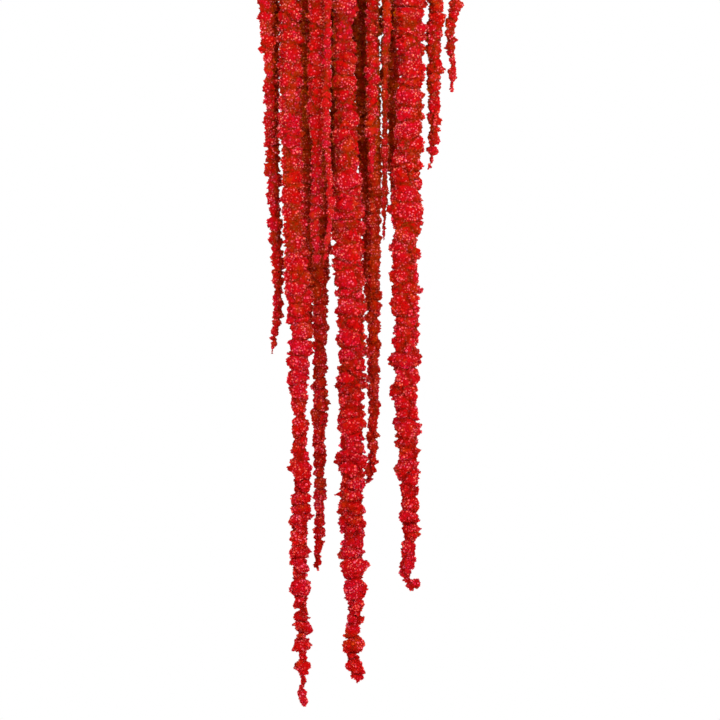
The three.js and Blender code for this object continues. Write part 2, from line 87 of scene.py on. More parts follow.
def addRamp(tree, factor, stops):
    ramp = addNode(tree, "ShaderNodeValToRGB", {"Fac": factor})
    bands = ramp.color_ramp.elements
    while len(bands) < len(stops):
        bands.new(0.5)
    for band, (place, code) in zip(bands, stops):
        band.position = place
        band.color = colourOf(code)
    return ramp.outputs["Color"]


def addMix(tree, factor, first, second, blend="MIX"):
    values = {0: factor, 6: first, 7: second}
    return addNode(tree, "ShaderNodeMix", values, data_type="RGBA", blend_type=blend).outputs[2]


def mixCodes(tree, factor, codes):
    return addMix(tree, factor, *[colourOf(code) for code in codes])


def addMath(tree, operation, first, second=0.0):
    return addNode(tree, "ShaderNodeMath", {0: first, 1: second}, operation=operation).outputs[0]


def multiply(tree, made, *others):
    for other in others:
        made = addMath(tree, "MULTIPLY", made, other)
    return made


def addUp(tree, made, *others):
    for other in others:
        made = addMath(tree, "ADD", made, other)
    return made


def addVectorMath(tree, operation, first, second):
    values = {0: first, "Scale" if operation == "SCALE" else 1: second}
    return addNode(tree, "ShaderNodeVectorMath", values, operation=operation).outputs["Vector"]


def addRange(tree, value, low, high, start=0.0, end=1.0):
    values = {"Value": value, "From Min": low, "From Max": high, "To Min": start, "To Max": end}
    made = addNode(tree, "ShaderNodeMapRange", values, interpolation_type="SMOOTHSTEP")
    return made.outputs["Result"]


def readAttribute(tree, name):
    return addNode(tree, "ShaderNodeAttribute", attribute_name=name).outputs["Fac"]


def readNamed(group, name):
    made = addNode(group, "GeometryNodeInputNamedAttribute", {"Name": name}, data_type="FLOAT")
    return made.outputs["Attribute"]


def storeNamed(group, geometry, name, value):
    values = {"Geometry": geometry, "Name": name, "Value": value}
    made = addNode(group, "GeometryNodeStoreNamedAttribute", values, data_type="FLOAT")
    return made.outputs["Geometry"]


def newMaterial(name, **constants):
    material = bpy.data.materials.new(name)
    material.use_nodes = True
    surface = material.node_tree.nodes["Principled BSDF"]
    for socket, value in constants.items():
        surface.inputs[socket.replace("_", " ")].default_value = value
    return material, material.node_tree, surface


def newGroup(name, kind, inputs, outputs):
    group = bpy.data.node_groups.new(name, kind)
    for way, sockets in (("INPUT", inputs), ("OUTPUT", outputs)):
        for label, (socketKind, value) in sockets.items():
            socketType = "NodeSocket" + socketKind
            socket = group.interface.new_socket(name=label, in_out=way, socket_type=socketType)
            if value is not None:
                socket.default_value = value
    return group, addNode(group, "NodeGroupInput").outputs, addNode(group, "NodeGroupOutput")


# Shared effects: soft-edged blotches and a fine grain
def makeBlotches():
    inputs = {
        "Vector": ("Vector", None),
        "Scale": ("Float", 40.0),
        "Detail": ("Float", 4.0),
        "Low": ("Float", 0.42),
        "High": ("Float", 0.62),
    }
    group, given, result = newGroup("blotches", "ShaderNodeTree", inputs, {"Mask": ("Float", None)})
    values = {name: given[name] for name in ("Vector", "Scale", "Detail")}
    pattern = addNode(group, "ShaderNodeTexNoise", {**values, "Roughness": 0.62}).outputs["Fac"]
    mask = addRange(group, pattern, given["Low"], given["High"])
    group.links.new(mask, result.inputs["Mask"])
    return group


def makeGrain():
    inputs = {
        "Vector": ("Vector", None),
        "Scale": ("Float", 900.0),
        "Strength": ("Float", 0.4),
        "Depth": ("Float", 0.0004),
    }
    group, given, result = newGroup("grain", "ShaderNodeTree", inputs, {"Normal": ("Vector", None)})
    values = {"Vector": given["Vector"], "Scale": given["Scale"], "Detail": 3.0}
    pattern = addNode(group, "ShaderNodeTexNoise", values).outputs["Fac"]
    values = {"Height": pattern, "Strength": given["Strength"], "Distance": given["Depth"]}
    bump = addNode(group, "ShaderNodeBump", values).outputs["Normal"]
    group.links.new(bump, result.inputs["Normal"])
    return group


blotchGroup = makeBlotches()
grainGroup = makeGrain()


def addBlotches(tree, vector, scale, low, high, detail=4.0):
    values = {"Vector": vector, "Scale": scale, "Low": low, "High": high, "Detail": detail}
    return addNode(tree, "ShaderNodeGroup", values, node_tree=blotchGroup).outputs["Mask"]


def addGrain(tree, surface, vector, scale, strength, depth):
    values = {"Vector": vector, "Scale": scale, "Strength": strength, "Depth": depth}
    normal = addNode(tree, "ShaderNodeGroup", values, node_tree=grainGroup).outputs["Normal"]
    tree.links.new(normal, surface.inputs["Normal"])


def objectVector(tree, stretch=(1, 1, 1)):
    values = {"Vector": addNode(tree, "ShaderNodeTexCoord").outputs["Object"], "Scale": stretch}
    return addNode(tree, "ShaderNodeMapping", values).outputs["Vector"]


def heightOf(tree, vector):
    return addNode(tree, "ShaderNodeSeparateXYZ", {0: vector}).outputs["Z"]


# Helpers for meshes
def makeThing(name, data):
    thing = bpy.data.objects.new(name, data)
    scene.collection.objects.link(thing)
    return thing


def addPiece(name, mesh, nodes, materials):
    piece = makeThing(name, mesh)
    for material in materials:
        mesh.materials.append(material)
    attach(piece, "root")
    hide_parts(*nodes)


def applyModifiers(thing):
    graph = bpy.context.evaluated_depsgraph_get()
    mesh = bpy.data.meshes.new_from_object(thing.evaluated_get(graph), depsgraph=graph)
    thing.modifiers.clear()
    return mesh


# The finished mesh of a thing that was only needed to make it
def takeMesh(thing):
    mesh = applyModifiers(thing)
    bpy.data.objects.remove(thing)
    return mesh


def meshFrom(bm, name, smooth=True):
    mesh = bpy.data.meshes.new(name)
    bm.to_mesh(mesh)
    bm.free()
    for face in mesh.polygons:
        face.use_smooth = smooth
    return mesh


# The curve that part.mjs uses, a centripetal Catmull-Rom, read in even steps of its parameter
def throughPoints(points, steps):
    spots = [Vector(spot) for spot in points]
    spots = [2 * spots[0] - spots[1], *spots, 2 * spots[-1] - spots[-2]]
    route = [spots[1]]
    for before, start, end, after in zip(spots, spots[1:], spots[2:], spots[3:]):
        pairs = ((before, start), (start, end), (end, after))
        first, middle, last = [math.sqrt((b - a).length) for a, b in pairs]
        leave = (start - before) / first - (end - before) / (first + middle) + (end - start) / middle
        reach = (end - start) / middle - (after - start) / (middle + last) + (after - end) / last
        leave, reach = leave * middle, reach * middle
        for step in range(1, steps + 1):
            t = step / steps
            route.append(
                start * (2 * t ** 3 - 3 * t ** 2 + 1) + end * (3 * t ** 2 - 2 * t ** 3)
                + leave * (t ** 3 - 2 * t ** 2 + t) + reach * (t ** 3 - t ** 2)
            )
    return route


def lengthsAlong(route):
    lengths = [0.0]
    for start, end in zip(route, route[1:]):
        lengths.append(lengths[-1] + (end - start).length)
    return lengths


def pointAt(route, share):
    lengths = lengthsAlong(route)
    wanted = share * lengths[-1]
    for n in range(1, len(route)):
        if lengths[n] >= wanted:
            part = (wanted - lengths[n - 1]) / max(1e-9, lengths[n] - lengths[n - 1])
            return route[n - 1].lerp(route[n], part)
    return route[-1]


def valueAt(values, share):
    at = share * (len(values) - 1)
    n = min(len(values) - 2, int(at))
    return values[n] + (values[n + 1] - values[n]) * (at - n)


# Round rods along routes, as one mesh: each rod is (route, radii in metres), with flat ends
def rodMesh(name, rods, detail):
    curve = bpy.data.curves.new(name, "CURVE")
    curve.dimensions = "3D"
    curve.bevel_depth = 1
    curve.bevel_resolution = detail
    curve.use_fill_caps = True
    for route, radii in rods:
        spline = curve.splines.new("POLY")
        spline.points.add(len(route) - 1)
        for n, (spot, place) in enumerate(zip(spline.points, route)):
            spot.co = (*place, 1)
            spot.radius = valueAt(radii, n / (len(route) - 1))
    mesh = takeMesh(makeThing(name, curve))
    for face in mesh.polygons:
        face.use_smooth = True
    return mesh


# A turned shell: an outline of (radius, z) in millimetres spun about Z, which is closed when it
# starts off the axis. Rings with an angle over the sharp one, in degrees, are rounded.
def turnedShell(bm, outline, sides, rounding, sharp=24):
    corners = [bm.verts.new((radius * mm, 0, z * mm)) for radius, z in outline]
    edges = [bm.edges.new(pair) for pair in zip(corners, corners[1:])]
    if outline[0][0] > 0:
        edges.append(bm.edges.new((corners[-1], corners[0])))
    bmesh.ops.spin(
        bm, geom=corners + edges, axis=(0, 0, 1), cent=(0, 0, 0),
        steps=sides, angle=2 * math.pi, use_merge=True,
    )
    bmesh.ops.remove_doubles(bm, verts=bm.verts, dist=1e-6)
    bmesh.ops.recalc_face_normals(bm, faces=bm.faces)
    least = math.radians(sharp)
    rings = [edge for edge in bm.edges if edge.is_manifold and edge.calc_face_angle() > least]
    bmesh.ops.bevel(
        bm, geom=rings, offset=rounding, affect="EDGES",
        segments=2, profile=0.5, material=-1, clamp_overlap=True,
    )


# Tassels: lumps and teeth over the form of each CAD solid, and a bud for each floret
tasselSettings = {
    "girths": (2, 8),  # mm, twice the volume over the area, which is about the mean radius
    "byGirth": {  # mm, on a tassel of the first girth and on one of the second
        "voxel": (0.98, 1.26),
        "block": (7.5, 13.5),  # blocks, lumps on them and teeth on those: width, and how far they rise
        "blockRise": (1.8, 4.4),
        "lump": (4.6, 7.4),
        "lumpRise": (1.0, 2.8),
        "tooth": (2.6, 3.8),
        "toothRise": (0.7, 1.35),
        "swell": (0.0, 0.2),
        "spacing": (1.32, 1.46),  # between florets
        "budWidth": (0.88, 1.02),  # half of a floret's width
        "budHeight": (0.7, 0.9),
    },
    "merge": 0.02,  # mm, corners closer than this become one
    "relief": {  # stretch, width of the edge, least and greatest height
        "block": ((0.5, 0.5, 1.2), 0.13, 0.4, 1.2),
        "lump": ((1, 1, 1.15), 0.15, 0.4, 1.25),
        "tooth": ((1, 1, 1), 0.26, 0.3, 1.3),
    },
    "dome": (0.15, 0.8, 1.0, 0.6),  # distances between which each falls off, and the share left
    "stir": (160.0, 0.004),  # how closely the relief is bent out of line, and metres how far
    "away": (0.013, 0.007, 0.011),  # metres that each step of the seed moves the pattern
    "shallow": 0.4,  # what the three heights are scaled by for the material
    "lumpCrease": 0.5,  # how deep a crease between lumps is, of one between blocks
    "thread": {"relief": 0.8, "bud": 0.92},  # share of the full size that is left on a thread
    "slim": (3.2, 6.5),  # mm through the tassel: a thread, and one with its full relief
    "skin": 0.1,  # mm below the skin where a ray through the tassel starts
    "bud": {"sides": 5, "depth": 1.35, "lift": 0.32},  # over half a width of 1
    "density": 1.6e6,  # florets on a square metre before the spacing thins them
    "kept": 0.7,  # share of them that stays
    "leans": ((-0.85, -0.85, 0), (0.85, 0.85, 6.3)),  # radians, two leans and the turn
    "widths": (0.6, 1.35),
    "heights": (0.7, 1.25),
    "longer": (0.84, 0.3),  # share of the florets that keep their height, and what the last ones add
    "loose": {"left_back", "left_back_side", "back", "back_side", "right_back", "right_back_side"},
    "looseSpacing": 1.25,
    "ways": 24,  # directions tried from each corner, to see how deep in the bunch it lies
    "facing": (0.1, 0.05),  # how much each way has to point off the skin, and away from the pot
    "reach": 26,
    "unseen": 0.6,  # depth of a corner without a way out
    "seedStep": 10,  # from one tassel's seed to the next one's
    "ramps": {
        "crimson": [(0.0, "bc0a0c"), (0.3, "ce1214"), (0.62, "da1c20"), (0.9, "e43036")],
        "rosy": [(0.0, "c20a26"), (0.3, "ce1438"), (0.62, "dc2250"), (0.9, "e83c62")],
        # painted shade: florets hemmed in by other tassels take this last ramp
        "brown": [(0.0, "ba5000"), (0.35, "ce5a00"), (0.75, "da6204"), (0.95, "e66e10")],
    },
    "codes": {
        "thread": "e03c50",
        "aged": "a84404",
        # painted shade at the base of each floret
        "base": "980400",
        # painted shade in the creases, near the top and lower down
        "dark": ("6a2c00", "740c04"),
        # pale florets, partly painted highlight, and the painted glint on them
        "young": ("f0503c", "ee485c"),
        "glint": ("ffa88c", "ff9ca4"),
        "pit": ("960c04", "763000"),
    },
    # painted shade, multiplied in lower down
    "paintedShadeLow": (0.87, 0.88, 0.9, 1),
    "blotches": {  # scale, and where a blotch begins and is full
        "petals": (60.0, 0.38, 0.64),
        "aged": (80.0, 0.5, 0.68),
        "young": (120.0, 0.42, 0.6),
        "pits": (420.0, 0.52, 0.66),
    },
    "bands": {  # metres, the heights between which each change comes
        "shade": (-0.6, -0.66),
        "dark": (-0.65, -0.85),
        "glint": (-0.6, -0.75),
        "low": (-0.6, -0.9),
    },
}


def makeFloretMaterial():
    material, tree, surface = newMaterial(
        "floretCrimson", Roughness=0.5, Specular_IOR_Level=0.006,
        Subsurface_Weight=0.5, Subsurface_Scale=0.003,
    )
    ramps, codes = tasselSettings["ramps"], tasselSettings["codes"]
    blotches, bands = tasselSettings["blotches"], tasselSettings["bands"]
    vector = objectVector(tree)
    high = heightOf(tree, vector)
    tint = readAttribute(tree, "tint")
    relief = readAttribute(tree, "relief")
    between = readAttribute(tree, "crease")
    tip = readAttribute(tree, "tip")
    slim = readAttribute(tree, "slim")
    # painted shade: how far other tassels hem each corner in, fuller near the top and weaker on threads
    shade = multiply(
        tree, addRange(tree, readAttribute(tree, "shade"), 0.3, 0.7),
        addRange(tree, high, *bands["shade"], 1.0, 0.5), addRange(tree, slim, 0.0, 0.7, 0.3, 1.0),
    )

    # Petals, which turn brown with age, and with painted shade: brown deep in the bunch, dark in the
    # creases and at their base
    crimson, rosy, brown = [addRamp(tree, tint, ramps[name]) for name in ("crimson", "rosy", "brown")]
    petals = addMix(tree, addBlotches(tree, vector, *blotches["petals"]), crimson, rosy)
    petals = addMix(tree, addRange(tree, slim, 0.0, 0.8, 0.15, 0.0), petals, colourOf(codes["thread"]))
    tone = addMix(tree, shade, petals, brown)
    aged = multiply(tree, addBlotches(tree, vector, *blotches["aged"]), 0.6)
    tone = addMix(tree, aged, tone, colourOf(codes["aged"]))
    # painted shade in the creases between blocks and lumps and in the hollows of the relief: olive-brown
    # near the top, deep red lower down
    dark = mixCodes(tree, addRange(tree, high, *bands["dark"]), codes["dark"])
    tone = addMix(tree, addRange(tree, between, 0.0, 0.8, 0.85, 0.0), tone, dark)
    tone = addMix(tree, addRange(tree, relief, 0.1, 0.5, 0.45, 0.0), tone, dark)
    # painted shade at the base of each floret, between its neighbours
    tone = addMix(tree, addRange(tree, tip, 0.0, 0.35, 0.55, 0.0), tone, colourOf(codes["base"]))

    # Newer florets in bunches, paler, partly a painted highlight: fewer in the creases and the painted
    # shade; a painted glint at their tips, weaker lower down
    bunches = multiply(tree, addBlotches(tree, vector, *blotches["young"]), 0.9)
    young = multiply(
        tree, addRange(tree, addUp(tree, tint, bunches), 0.5, 1.45), addRange(tree, tip, 0.0, 0.35),
        addRange(tree, between, 0.2, 0.9, 0.3, 1.0), addRange(tree, shade, 0.0, 1.0, 0.95, 0.6),
    )
    hue = addRange(tree, addMath(tree, "FRACT", multiply(tree, tint, 7.3)), 0.2, 0.8)
    tone = addMix(tree, young, tone, mixCodes(tree, hue, codes["young"]))
    tips = addRange(tree, tip, 0.5, 0.9, 0.0, 0.9)
    glint = multiply(tree, young, tips, addRange(tree, high, *bands["glint"], 1.0, 0.4))
    tone = addMix(tree, glint, tone, mixCodes(tree, hue, codes["glint"]))

    # dark pits at random, olive-brown where the painted shade lies
    pits = multiply(tree, addBlotches(tree, vector, *blotches["pits"]), 0.55)
    tone = addMix(tree, pits, tone, mixCodes(tree, shade, codes["pit"]))
    # painted shade: the lower the floret lies, the darker, down to the tips
    low = addRange(tree, high, *bands["low"], 0.0, 1.0)
    tone = addMix(tree, low, tone, tasselSettings["paintedShadeLow"], "MULTIPLY")
    tree.links.new(tone, surface.inputs["Base Color"])
    return material


def makeBud():
    form = tasselSettings["bud"]
    bm = bmesh.new()
    tip = bm.verts.layers.float.new("tip")
    bmesh.ops.create_cone(bm, segments=form["sides"], radius1=1, radius2=0, depth=form["depth"])
    bmesh.ops.remove_doubles(bm, verts=bm.verts, dist=1e-4)
    bmesh.ops.translate(bm, verts=bm.verts, vec=(0, 0, form["lift"]))
    for vert in bm.verts:
        vert[tip] = 1 if vert.co.z > 0 else 0
    return bpy.data.objects.new("bud", meshFrom(bm, "bud"))


# Three sizes of relief, each part with its own height: blocks with creases round the tassel
# between them, lumps on the blocks, and small teeth all over those
def makeLumpGroup():
    inputs = {"Geometry": ("Geometry", None), "Seed": ("Int", 0)}
    sizes = ("block", "blockRise", "lump", "lumpRise", "tooth", "toothRise", "swell")
    inputs.update({key: ("Float", 0.002) for key in sizes})
    group, given, result = newGroup("lumps", "GeometryNodeTree", inputs, {"Geometry": ("Geometry", None)})
    slim = readNamed(group, "slim")
    place = addNode(group, "GeometryNodeInputPosition").outputs["Position"]
    closeness, distance = tasselSettings["stir"]
    values = {"Vector": place, "Scale": closeness, "Detail": 1.0}
    stir = addNode(group, "ShaderNodeTexNoise", values).outputs["Color"]
    stir = addVectorMath(group, "SUBTRACT", stir, (0.5, 0.5, 0.5))
    place = addVectorMath(group, "ADD", place, addVectorMath(group, "SCALE", stir, distance))
    away = addVectorMath(group, "SCALE", tasselSettings["away"], given["Seed"])
    place = addVectorMath(group, "ADD", place, away)

    def relief(size):
        stretch, edgeWidth, low, high = tasselSettings["relief"][size]
        values = {
            "Vector": addVectorMath(group, "MULTIPLY", place, stretch),
            "Scale": addMath(group, "DIVIDE", 1.0, given[size]),
        }
        edge = addNode(group, "ShaderNodeTexVoronoi", values, feature="DISTANCE_TO_EDGE")
        cell = addNode(group, "ShaderNodeTexVoronoi", values, feature="F1").outputs
        chance = addNode(group, "FunctionNodeSeparateColor", {"Color": cell["Color"]}).outputs["Red"]
        dome = addRange(group, cell["Distance"], *tasselSettings["dome"])
        rim = addRange(group, edge.outputs["Distance"], 0.0, edgeWidth)
        form = multiply(group, rim, dome, addRange(group, chance, 0.0, 1.0, low, high))
        lift = multiply(group, addMath(group, "SUBTRACT", form, 0.5), given[size + "Rise"])
        return rim, form, lift

    blockRim, blocks, blockLift = relief("block")
    lumpRim, lumps, lumpLift = relief("lump")
    teeth, toothLift = relief("tooth")[1:]
    scale = addRange(group, slim, 0.0, 1.0, tasselSettings["thread"]["relief"], 1.0)
    lift = multiply(group, addUp(group, blockLift, lumpLift, toothLift), scale)
    lift = addUp(group, lift, multiply(group, given["swell"], slim))
    normal = addNode(group, "GeometryNodeInputNormal").outputs["Normal"]
    values = {"Geometry": given["Geometry"], "Offset": addVectorMath(group, "SCALE", normal, lift)}
    moved = addNode(group, "GeometryNodeSetPosition", values).outputs["Geometry"]
    height = multiply(group, addUp(group, blocks, lumps, teeth), tasselSettings["shallow"])
    crease = addRange(group, lumpRim, 0.0, 1.0, tasselSettings["lumpCrease"], 1.0)
    crease = multiply(group, blockRim, crease)
    kept = storeNamed(group, storeNamed(group, moved, "relief", height), "crease", crease)
    group.links.new(kept, result.inputs["Geometry"])
    return group


# Florets: a bud for each point scattered over the lumps, turned outwards, with its own size and tint
def makeFloretGroup():
    inputs = {
        "Geometry": ("Geometry", None),
        "Bud": ("Object", None),
        "Spacing": ("Float", 0.0016),
        "Width": ("Float", 0.0009),
        "Height": ("Float", 0.0011),
        "Seed": ("Int", 0),
    }
    outputs = {"Geometry": ("Geometry", None)}
    group, given, result = newGroup("florets", "GeometryNodeTree", inputs, outputs)

    def randomValue(low, high, seed, kind="FLOAT"):
        first = {"FLOAT_VECTOR": 0, "FLOAT": 2}[kind]
        values = {first: low, first + 1: high, "Seed": addUp(group, given["Seed"], seed)}
        return addNode(group, "FunctionNodeRandomValue", values, data_type=kind).outputs[first // 2]

    values = {
        "Mesh": given["Geometry"],
        "Distance Min": given["Spacing"],
        "Density Max": tasselSettings["density"],
        "Density Factor": tasselSettings["kept"],
        "Seed": given["Seed"],
    }
    spread = addNode(group, "GeometryNodeDistributePointsOnFaces", values, distribute_method="POISSON")
    points = storeNamed(group, spread.outputs["Points"], "tint", randomValue(0.0, 1.0, 1))
    lean = randomValue(*tasselSettings["leans"], 2, "FLOAT_VECTOR")
    tilt = addNode(group, "FunctionNodeEulerToRotation", {"Euler": lean}).outputs["Rotation"]
    values = {"Rotation": spread.outputs["Rotation"], "Rotate By": tilt}
    turn = addNode(group, "FunctionNodeRotateRotation", values, rotation_space="LOCAL")
    slim = addRange(group, readNamed(group, "slim"), 0.0, 1.0, tasselSettings["thread"]["bud"], 1.0)
    width = multiply(group, given["Width"], slim, randomValue(*tasselSettings["widths"], 3))
    share, most = tasselSettings["longer"]
    longer = addRange(group, randomValue(0.0, 1.0, 5), share, 1.0, 0.0, most)
    height = addUp(group, randomValue(*tasselSettings["heights"], 4), longer)
    height = multiply(group, given["Height"], height, slim)
    values = {"X": width, "Y": width, "Z": height}
    size = addNode(group, "ShaderNodeCombineXYZ", values).outputs["Vector"]
    bud = addNode(group, "GeometryNodeObjectInfo", {"Object": given["Bud"]}).outputs["Geometry"]
    values = {"Points": points, "Instance": bud, "Rotation": turn.outputs["Rotation"], "Scale": size}
    buds = addNode(group, "GeometryNodeInstanceOnPoints", values).outputs["Instances"]
    realised = addNode(group, "GeometryNodeRealizeInstances", {"Geometry": buds}).outputs["Geometry"]
    joined = addNode(group, "GeometryNodeJoinGeometry")
    group.links.new(realised, joined.inputs["Geometry"])
    group.links.new(given["Geometry"], joined.inputs["Geometry"])
    smooth = addNode(group, "GeometryNodeSetShadeSmooth", {"Geometry": joined.outputs["Geometry"]})
    group.links.new(smooth.outputs["Geometry"], result.inputs["Geometry"])
    return group


def useGroup(thing, group, values):
    modifier = thing.modifiers.new(group.name, "NODES")
    modifier.node_group = group
    for socket in group.interface.items_tree:
        if socket.item_type == "SOCKET" and socket.in_out == "INPUT" and socket.name in values:
            modifier[socket.identifier] = values[socket.name]


# Directions spread evenly over a sphere
def waysOut(count):
    ways = []
    for n in range(count):
        height = 1 - (2 * n + 1) / count
        turn = n * math.pi * (3 - math.sqrt(5))
        level = math.sqrt(1 - height * height)
        ways.append(Vector((level * math.cos(turn), level * math.sin(turn), height)))
    return ways


# Stores how thick the tassel is at each corner, from 0 on a thread to 1
def storeSlim(mesh):
    corners = [vert.co for vert in mesh.vertices]
    tree = BVHTree.FromPolygons(corners, [list(face.vertices) for face in mesh.polygons])
    low, high = [value * mm for value in tasselSettings["slim"]]
    slim = []
    for vert in mesh.vertices:
        start = vert.co - vert.normal * tasselSettings["skin"] * mm
        through = tree.ray_cast(start, -vert.normal, high)[3]
        slim.append(1.0 if through is None else min(1.0, max(0.0, (through - low) / (high - low))))
    mesh.attributes.new("slim", "FLOAT", "POINT").data.foreach_set("value", slim)


# Stores how deep in the bunch each corner lies: the share of its ways away from the pot
# that another tassel blocks
def storeShade(mesh, others):
    corners, faces = [], []
    for cad in others:
        faces += [[len(corners) + n for n in face.vertices] for face in cad.polygons]
        corners += [vert.co for vert in cad.vertices]
    tree = BVHTree.FromPolygons(corners, faces)
    ways = waysOut(tasselSettings["ways"])
    offSkin, offPot = tasselSettings["facing"]
    reach = tasselSettings["reach"] * mm
    shade = []
    for vert in mesh.vertices:
        start = vert.co + vert.normal * mm
        outward = Vector((vert.co.x, vert.co.y, 0)).normalized()
        tried = [way for way in ways if way.dot(vert.normal) > offSkin and way.dot(outward) > offPot]
        blocked = sum(1 for way in tried if tree.ray_cast(start, way, reach)[0])
        shade.append(blocked / len(tried) if tried else tasselSettings["unseen"])
    mesh.attributes.new("shade", "FLOAT", "POINT").data.foreach_set("value", shade)


def makeTassel(name, seed, tools):
    bm = bmesh.new()
    bm.from_mesh(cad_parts["tassel_" + name].data)
    for layer in list(bm.loops.layers.uv):
        bm.loops.layers.uv.remove(layer)
    bmesh.ops.remove_doubles(bm, verts=bm.verts, dist=tasselSettings["merge"] * mm)
    girth = 2 * abs(bm.calc_volume()) / sum(face.calc_area() for face in bm.faces)
    fine, full = tasselSettings["girths"]
    share = min(1, max(0, (girth / mm - fine) / (full - fine)))
    ranges = tasselSettings["byGirth"].items()
    size = {key: (thin + (thick - thin) * share) * mm for key, (thin, thick) in ranges}
    core = makeThing(name, meshFrom(bm, name))
    rounded = core.modifiers.new("rounded", "SUBSURF")
    rounded.levels = rounded.render_levels = 1
    even = core.modifiers.new("even", "REMESH")
    even.mode = "VOXEL"
    even.voxel_size = size["voxel"]
    core.data = applyModifiers(core)
    storeSlim(core.data)
    useGroup(core, tools["lumps"], {**size, "Seed": seed})
    mesh = takeMesh(core)
    storeShade(mesh, [cad for other, cad in tools["cad"].items() if other != name])
    dressed = makeThing(name, mesh)
    loose = tasselSettings["looseSpacing"] if name in tasselSettings["loose"] else 1
    values = {
        "Bud": tools["bud"],
        "Spacing": size["spacing"] * loose,
        "Width": size["budWidth"] * loose,
        "Height": size["budHeight"] * loose,
        "Seed": seed,
    }
    useGroup(dressed, tools["florets"], values)
    made = takeMesh(dressed)
    made.name = "florets_" + name
    made.materials.clear()
    addPiece("florets_" + name, made, ["tassel_" + name], [tools["material"]])
    return sum(len(face.vertices) - 2 for face in made.polygons), girth


def makeTassels():
    names = sorted(name[len("tassel_"):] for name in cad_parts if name.startswith("tassel_"))
    tools = {
        "cad": {name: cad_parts["tassel_" + name].data for name in names},
        "bud": makeBud(),
        "lumps": makeLumpGroup(),
        "florets": makeFloretGroup(),
        "material": makeFloretMaterial(),
    }
    total = 0
    for n, name in enumerate(names):
        count, girth = makeTassel(name, n * tasselSettings["seedStep"], tools)
        total += count
        print(f"  {name}: girth {girth / mm:.1f} mm, {count} triangles")
    bpy.data.objects.remove(tools["bud"])
    print("tassels made, triangles:", total)


makeTassels()


# Leafy stems, in millimetres as in part.mjs: a path, radii, and leaves as
# (share of the stem, azimuth, reach, height of the bend, height of the tip, half width)
stemSettings = {
    "left": {
        "path": [
            (-30, -24, -442), (-33, -40, -392), (-39, -78, -352), (-44, -112, -341), (-46, -132, -346),
        ],
        "radii": (5, 4.8, 4.2, 3.4, 2.8),
        "leaves": [
            (0.36, 228, 92, 44, 22, 23),
            (0.5, 262, 84, 75, 50, 22),
            (0.57, 112, 76, 62, 48, 20),
            (0.66, 232, 80, 46, 16, 21),
        ],
    },
    "middle": {
        "path": [(2, -34, -444), (1, -48, -390), (-2, -84, -345), (-6, -118, -333), (-9, -136, -339)],
        "radii": (5.2, 5, 4.4, 3.6, 3),
        "leaves": [
            (0.4, 296, 74, 84, 62, 22),
            (0.5, 245, 86, 80, 62, 23),
            (0.56, 55, 66, 58, 50, 21),
            (0.74, 262, 84, 70, 40, 21),
        ],
    },
    "right": {
        "path": [
            (32, -22, -442), (34, -40, -394), (35, -80, -354), (35, -112, -344), (34.5, -132, -350),
        ],
        "radii": (5, 4.8, 4.2, 3.4, 2.8),
        "leaves": [
            (0.38, 318, 90, 46, 26, 23),
            (0.55, 70, 76, 60, 46, 22),
            (0.61, 318, 84, 62, 36, 22),
            (0.74, 286, 78, 66, 42, 19),
        ],
    },
    "left_back": {
        "path": [(-44, 20, -442), (-54, 26, -396), (-82, 42, -362), (-108, 54, -352), (-122, 60, -358)],
        "radii": (4.6, 4.4, 3.8, 3, 2.6),
        "leaves": [
            (0.4, 190, 84, 50, 24, 22),
            (0.5, 110, 74, 56, 34, 22),
            (0.6, 215, 80, 60, 36, 22),
            (0.7, 140, 84, 50, 26, 22),
            (0.83, 178, 70, 36, 14, 19),
        ],
    },
    "back": {
        "path": [(-8, 46, -442), (-14, 60, -394), (-24, 88, -362), (-32, 112, -354), (-36, 126, -361)],
        "radii": (4.6, 4.4, 3.8, 3, 2.6),
        "leaves": [
            (0.45, 20, 82, 48, 26, 22),
            (0.56, 118, 84, 56, 34, 22),
            (0.62, 248, 76, 58, 46, 22),
            (0.72, 75, 80, 62, 40, 21),
            (0.83, 88, 74, 36, 10, 19),
        ],
    },
    "right_back": {
        "path": [(44, 22, -442), (56, 26, -396), (84, 36, -364), (108, 46, -355), (122, 52, -362)],
        "radii": (4.6, 4.4, 3.8, 3, 2.6),
        "leaves": [
            (0.42, 345, 86, 50, 24, 22),
            (0.52, 85, 80, 56, 34, 22),
            (0.58, 160, 74, 60, 50, 22),
            (0.64, 320, 82, 62, 40, 22),
            (0.69, 34, 82, 52, 26, 22),
            (0.85, 2, 68, 36, 14, 19),
        ],
    },
    "crown": {
        "path": [(6, 8, -444), (8, 10, -395), (5, 12, -345), (0, 8, -305)],
        "radii": (4.8, 4.4, 3.4, 2.2),
        "leaves": [
            (0.6, 270, 60, 42, 22, 20),
            (0.75, 175, 80, 40, 30, 22),
            (0.84, 345, 80, 48, 34, 22),
            (0.88, 118, 78, 34, 26, 21),
            (0.93, 235, 76, 32, 26, 21),
            (0.96, 25, 70, 30, 30, 19),
            (0.99, 290, 64, 34, 40, 18),
            (0.99, 160, 60, 36, 44, 18),
        ],
    },
}
